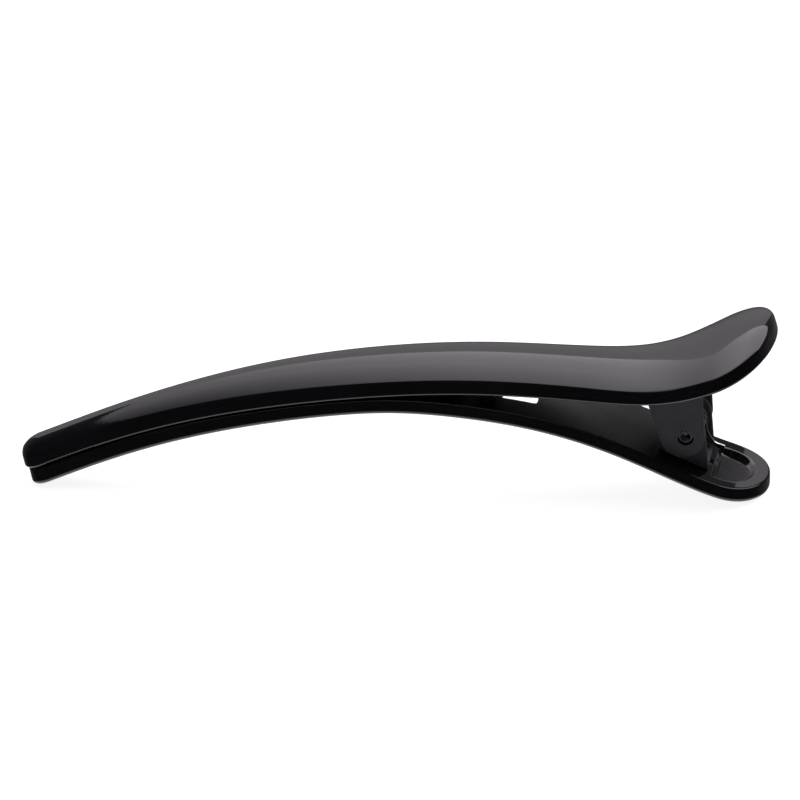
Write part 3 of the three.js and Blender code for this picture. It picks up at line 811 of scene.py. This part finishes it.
def stake_heads(name, line, x, start, side):
    """Two melted stake heads, each a flat button on a short shank."""
    slope = float(slope_of(line, x))
    length = math.hypot(1, slope)
    top = STAKE_HEAD_HEIGHT
    profile = [(0, -STAKE_SUNK), (STAKE_SHANK, -STAKE_SUNK), (STAKE_SHANK, 0),
               (0.96 * STAKE_HEAD, 0), (STAKE_HEAD, 0.08),
               (0.98 * STAKE_HEAD, 0.22), (0.88 * STAKE_HEAD, 0.38), (0.7 * STAKE_HEAD, 0.9 * top),
               (0.4 * STAKE_HEAD, top), (0.15 * STAKE_HEAD, 0.93 * top), (0, 0.9 * top)]
    heads = []
    for y in (-STAKE_APART, STAKE_APART):
        place = Matrix.Translation((x - start * slope / length, y, float(line(x)) + start / length))
        place = place @ Matrix.Rotation(-math.atan(slope), 4, "Y")
        if side < 0:
            place = place @ Matrix.Rotation(math.pi, 4, "X")
        heads.append(lathe(f"{name}_{y > 0}", profile, place, PLASTIC, 40))
    return join(heads, name)


upper_stakes = stake_heads("upper_stake_heads", lip_line, UPPER_STAKE_X, UPPER_PLATE_IN - STAKE_CLEARANCE, -1)
lower_stakes = stake_heads("lower_stake_heads", lower_top, LOWER_STAKE_X,
                           SEAT_GAP + SHEET + STAKE_CLEARANCE, 1)


def spring_points():
    """From the lower foot round the coil to the upper foot."""
    half = COIL_TURNS * COIL_PITCH / 2
    lower_foot = SEAT_GAP + SHEET + LEG_GAP + WIRE / 2
    upper_foot = UPPER_PLATE_IN - LEG_GAP - WIRE / 2

    def on(line, x, out, y):
        rx, rz = beside(line, x, out)
        return float(rx), y, float(rz)

    points = [
        on(lower_top, COIL_RADIUS + FOOT_LENGTH, lower_foot, half),
        on(lower_top, COIL_RADIUS + 0.5 * FOOT_LENGTH, lower_foot, half),
        on(lower_top, COIL_RADIUS + 0.2 * FOOT_LENGTH, lower_foot + 0.3 * WIRE, half),
        (COIL_RADIUS, half, PIN_Z - 1.2 * COIL_RADIUS),
    ]
    steps = 12 * COIL_TURNS
    for i in range(steps + 1):
        a = 2 * math.pi * COIL_TURNS * i / steps
        across = half - 2 * half * i / steps
        points.append((COIL_RADIUS * math.cos(a), across, PIN_Z + COIL_RADIUS * math.sin(a)))
    points += [
        (COIL_RADIUS, -half, PIN_Z + 1.5 * COIL_RADIUS),
        on(lip_line, COIL_RADIUS + 0.1 * FOOT_LENGTH, upper_foot - 1.5 * WIRE, -half),
        on(lip_line, COIL_RADIUS + 0.4 * FOOT_LENGTH, upper_foot, -half),
        on(lip_line, COIL_RADIUS + FOOT_LENGTH, upper_foot, -half),
    ]
    return np.array(points)


def centripetal(points, per_span):
    """A smooth curve through points (centripetal Catmull-Rom)."""
    p = np.vstack([2 * points[0] - points[1], points, 2 * points[-1] - points[-2]])
    out = []
    for i in range(1, len(p) - 2):
        a, b, c, d = p[i - 1 : i + 3]
        t0 = 0.0
        t1 = t0 + math.sqrt(np.linalg.norm(b - a))
        t2 = t1 + math.sqrt(np.linalg.norm(c - b))
        t3 = t2 + math.sqrt(np.linalg.norm(d - c))
        for t in np.linspace(t1, t2, per_span, endpoint=False):
            a1 = (t1 - t) / (t1 - t0) * a + (t - t0) / (t1 - t0) * b
            a2 = (t2 - t) / (t2 - t1) * b + (t - t1) / (t2 - t1) * c
            a3 = (t3 - t) / (t3 - t2) * c + (t - t2) / (t3 - t2) * d
            b1 = (t2 - t) / (t2 - t0) * a1 + (t - t0) / (t2 - t0) * a2
            b2 = (t3 - t) / (t3 - t1) * a2 + (t - t1) / (t3 - t1) * a3
            out.append((t2 - t) / (t2 - t1) * b1 + (t - t1) / (t2 - t1) * b2)
    out.append(points[-1])
    return np.array(out)


WIRE_CHAMFER = 0.12  # as a share of the wire's radius


def wire(name, path, radius, material, sides=16):
    """A round wire along a path, with its frame carried along and its cut ends chamfered."""
    tangents = np.gradient(path, axis=0)
    tangents /= np.linalg.norm(tangents, axis=1)[:, None]
    normal = np.cross(tangents[0], (0, 1, 0.2))
    rings = []
    ends = [(0, 0.0), (0, 0.8)]
    for i, (point, tangent) in enumerate(zip(path, tangents)):
        normal = normal - tangent * (normal @ tangent)
        normal /= np.linalg.norm(normal)
        other = np.cross(tangent, normal)
        angles = [2 * math.pi * k / sides for k in range(sides)]
        circle = np.array([math.cos(a) * normal + math.sin(a) * other for a in angles])
        if i == 0:
            rings += [point + circle * radius * share for _, share in ends]
            point = point + tangent * WIRE_CHAMFER * radius
        if i == len(path) - 1:
            point = point - tangent * WIRE_CHAMFER * radius
        rings.append(point + circle * radius)
        if i == len(path) - 1:
            tip = point + tangent * WIRE_CHAMFER * radius
            rings += [tip + circle * radius * share for _, share in reversed(ends)]
    faces = []
    for r in range(len(rings) - 1):
        for s in range(sides):
            t = (s + 1) % sides
            faces.append((r * sides + s, r * sides + t, (r + 1) * sides + t, (r + 1) * sides + s))
    obj = new_object(name, to_row(np.concatenate(rings)), faces, material, weld=1e-7)
    sharp_edges(obj, 40)
    return obj


spring = wire("torsion_spring_wire", centripetal(spring_points(), 6), WIRE / 2, SPRING)

# ---- pieces on their bodies ----
for piece, body, nodes, slot in (
    (upper_arm, UPPER, ["upper_arm"], "gloss_black_plastic"),
    (upper_ribs, UPPER, [], "gloss_black_plastic"),
    (upper_stakes, UPPER, [], "gloss_black_plastic"),
    (upper_bracket, UPPER, ["upper_hinge_bracket"], "satin_black_steel"),
    (lower_arm, LOWER, ["lower_arm"], "gloss_black_plastic"),
    (lower_ribs, LOWER, [], "gloss_black_plastic"),
    (lower_stakes, LOWER, [], "gloss_black_plastic"),
    (lower_bracket, LOWER, ["lower_hinge_bracket"], "satin_black_steel"),
    (hinge_pin, LOWER, ["hinge_pin"], "pin_steel"),
):
    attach(piece, body)
    if nodes:
        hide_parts(*nodes)

# The coil lies across the joint: its turns wind from the lower foot to the upper one.
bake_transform(spring)
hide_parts("torsion_spring")


# ---- stage: pale floor, pale surround, a soft panel overhead and one behind ----
def emission(name, color, strength):
    material = bpy.data.materials.new(name)
    material.use_nodes = True
    tree = material.node_tree
    tree.nodes.clear()
    shader = tree.nodes.new("ShaderNodeEmission")
    shader.inputs["Color"].default_value = (*color, 1)
    shader.inputs["Strength"].default_value = strength
    out = tree.nodes.new("ShaderNodeOutputMaterial")
    tree.links.new(shader.outputs[0], out.inputs[0])
    return material, tree, shader


def quad(name, corners, material):
    obj = new_object(name, [Vector(c) for c in corners], [(0, 1, 2, 3)], material, smooth=False)
    return obj


SURROUND = 2.5
floor_material = bpy.data.materials.new("pale_floor")
floor_material.use_nodes = True
floor_shader = floor_material.node_tree.nodes["Principled BSDF"]
floor_shader.inputs["Base Color"].default_value = (0.3, 0.3, 0.3, 1)
floor_shader.inputs["Roughness"].default_value = 0.9
floor_shader.inputs["Specular IOR Level"].default_value = 0.0
floor_shader.inputs["Emission Color"].default_value = (1, 1, 1, 1)
floor_shader.inputs["Emission Strength"].default_value = 0.9
FLOOR_Z = -0.0002
floor = quad("floor", [(-SURROUND, -SURROUND, FLOOR_Z), (SURROUND, -SURROUND, FLOOR_Z),
                       (SURROUND, SURROUND, FLOOR_Z), (-SURROUND, SURROUND, FLOOR_Z)], floor_material)
floor.visible_glossy = False

white = emission("pale_surround", (1, 1, 1), 1.0)[0]
bm = bmesh.new()
bmesh.ops.create_uvsphere(bm, u_segments=32, v_segments=16, radius=2 * SURROUND)
dome_mesh = bpy.data.meshes.new("surround")
bm.to_mesh(dome_mesh)
bm.free()
dome_mesh.materials.append(white)
dome = bpy.data.objects.new("surround", dome_mesh)
bpy.context.scene.collection.objects.link(dome)
dome.visible_glossy = False
dome.visible_diffuse = False
dome.visible_shadow = False


def soft_panel(name, corners, fades, bright):
    """A lit panel; each fade dims it along one axis, from a share at near to all of it at far."""
    material, tree, shader = emission(name, (1.0, 0.955, 1.0), bright)
    coords = tree.nodes.new("ShaderNodeTexCoord")
    split = tree.nodes.new("ShaderNodeSeparateXYZ")
    tree.links.new(coords.outputs["Object"], split.inputs[0])
    last = None
    for axis, near, far, share in fades:
        fade = tree.nodes.new("ShaderNodeMapRange")
        tree.links.new(split.outputs[axis], fade.inputs["Value"])
        start = share if last else share * bright
        for key, value in ((1, near), (2, far), (3, start), (4, start / share)):
            fade.inputs[key].default_value = value
        if last:
            both = tree.nodes.new("ShaderNodeMath")
            both.operation = "MULTIPLY"
            tree.links.new(last, both.inputs[0])
            tree.links.new(fade.outputs[0], both.inputs[1])
            last = both.outputs[0]
        else:
            last = fade.outputs[0]
    tree.links.new(last, shader.inputs["Strength"])
    panel = quad(name, corners, material)
    panel.visible_camera = False
    return panel


# The front edge of the overhead panel runs back towards its right; the back panel widens upwards.
TOP_Z, TOP_LEFT, TOP_RIGHT, TOP_BACK = 0.2, -0.207, 0.32, 0.185
TOP_FRONT, TOP_FRONT_RIGHT = -0.14, 0.02
soft_panel("top_panel", [(TOP_LEFT, TOP_FRONT, TOP_Z), (TOP_LEFT, TOP_BACK, TOP_Z),
                         (TOP_RIGHT, TOP_BACK, TOP_Z), (TOP_RIGHT, TOP_FRONT_RIGHT, TOP_Z)],
           (("Y", TOP_FRONT, 0.03, 0.2), ("X", TOP_LEFT, -0.02, 0.42)), 3.3)
BACK_Y, BACK_LEFT, BACK_RIGHT, BACK_LOW, BACK_HIGH = 0.4, -0.25, 0.1, -0.1, 0.46
soft_panel("back_panel", [(BACK_LEFT, BACK_Y, BACK_LOW), (BACK_RIGHT, BACK_Y, BACK_LOW),
                          (BACK_RIGHT, BACK_Y, BACK_HIGH), (2 * BACK_LEFT, BACK_Y, BACK_HIGH)],
           (("Z", BACK_LOW, BACK_HIGH, 0.05),), 1.55)

world = bpy.data.worlds.new("studio")
bpy.context.scene.world = world
world.use_nodes = True
tree = world.node_tree
background = tree.nodes["Background"]
coords = tree.nodes.new("ShaderNodeTexCoord")
split = tree.nodes.new("ShaderNodeSeparateXYZ")
tree.links.new(coords.outputs["Generated"], split.inputs[0])


def world_range(socket, low, high, to_low, to_high):
    node = tree.nodes.new("ShaderNodeMapRange")
    node.interpolation_type = "SMOOTHSTEP"
    tree.links.new(socket, node.inputs[0])
    for key, value in zip((1, 2, 3, 4), (low, high, to_low, to_high)):
        node.inputs[key].default_value = value
    return node.outputs[0]


back_light = world_range(split.outputs["Y"], -0.1, 0.8, 0.006, 0.14)
under_light = world_range(split.outputs["Z"], -0.82, -0.62, 1.4, 0.0)
total = tree.nodes.new("ShaderNodeMath")
tree.links.new(back_light, total.inputs[0])
tree.links.new(under_light, total.inputs[1])
tree.links.new(total.outputs[0], background.inputs["Strength"])
background.inputs["Color"].default_value = (1.0, 0.98, 1.0, 1)

# ---- camera: parallel, at the photograph's viewing angle ----
AZIMUTH, ELEVATION, ROLL = math.radians(10), math.radians(28.5), math.radians(4.1)
IMAGE_WIDTH, PIXELS_PER_MM = 800, 6.94
CENTRE_Z, CAMERA_AWAY = 13.6, 0.6
camera_data = bpy.data.cameras.new("camera")
camera = bpy.data.objects.new("camera", camera_data)
bpy.context.scene.collection.objects.link(camera)
bpy.context.scene.camera = camera
back = Vector((math.sin(AZIMUTH) * math.cos(ELEVATION), -math.cos(AZIMUTH) * math.cos(ELEVATION),
               math.sin(ELEVATION)))
right = Vector((math.cos(AZIMUTH), math.sin(AZIMUTH), 0))
up = back.cross(right)
right, up = (math.cos(ROLL) * right - math.sin(ROLL) * up, math.sin(ROLL) * right + math.cos(ROLL) * up)
centre = Vector((0, 0, CENTRE_Z * MM))
camera_data.type = "ORTHO"
camera_data.ortho_scale = IMAGE_WIDTH / PIXELS_PER_MM * MM
camera_data.clip_start, camera_data.clip_end = 0.01, 10
turn = Matrix((right, up, back)).transposed().to_4x4()
camera.matrix_world = Matrix.Translation(centre + back * CAMERA_AWAY) @ turn

view = bpy.context.scene.view_settings
view.view_transform = "Standard"
view.look = "None"
view.exposure = 0.0
view.gamma = 1.0
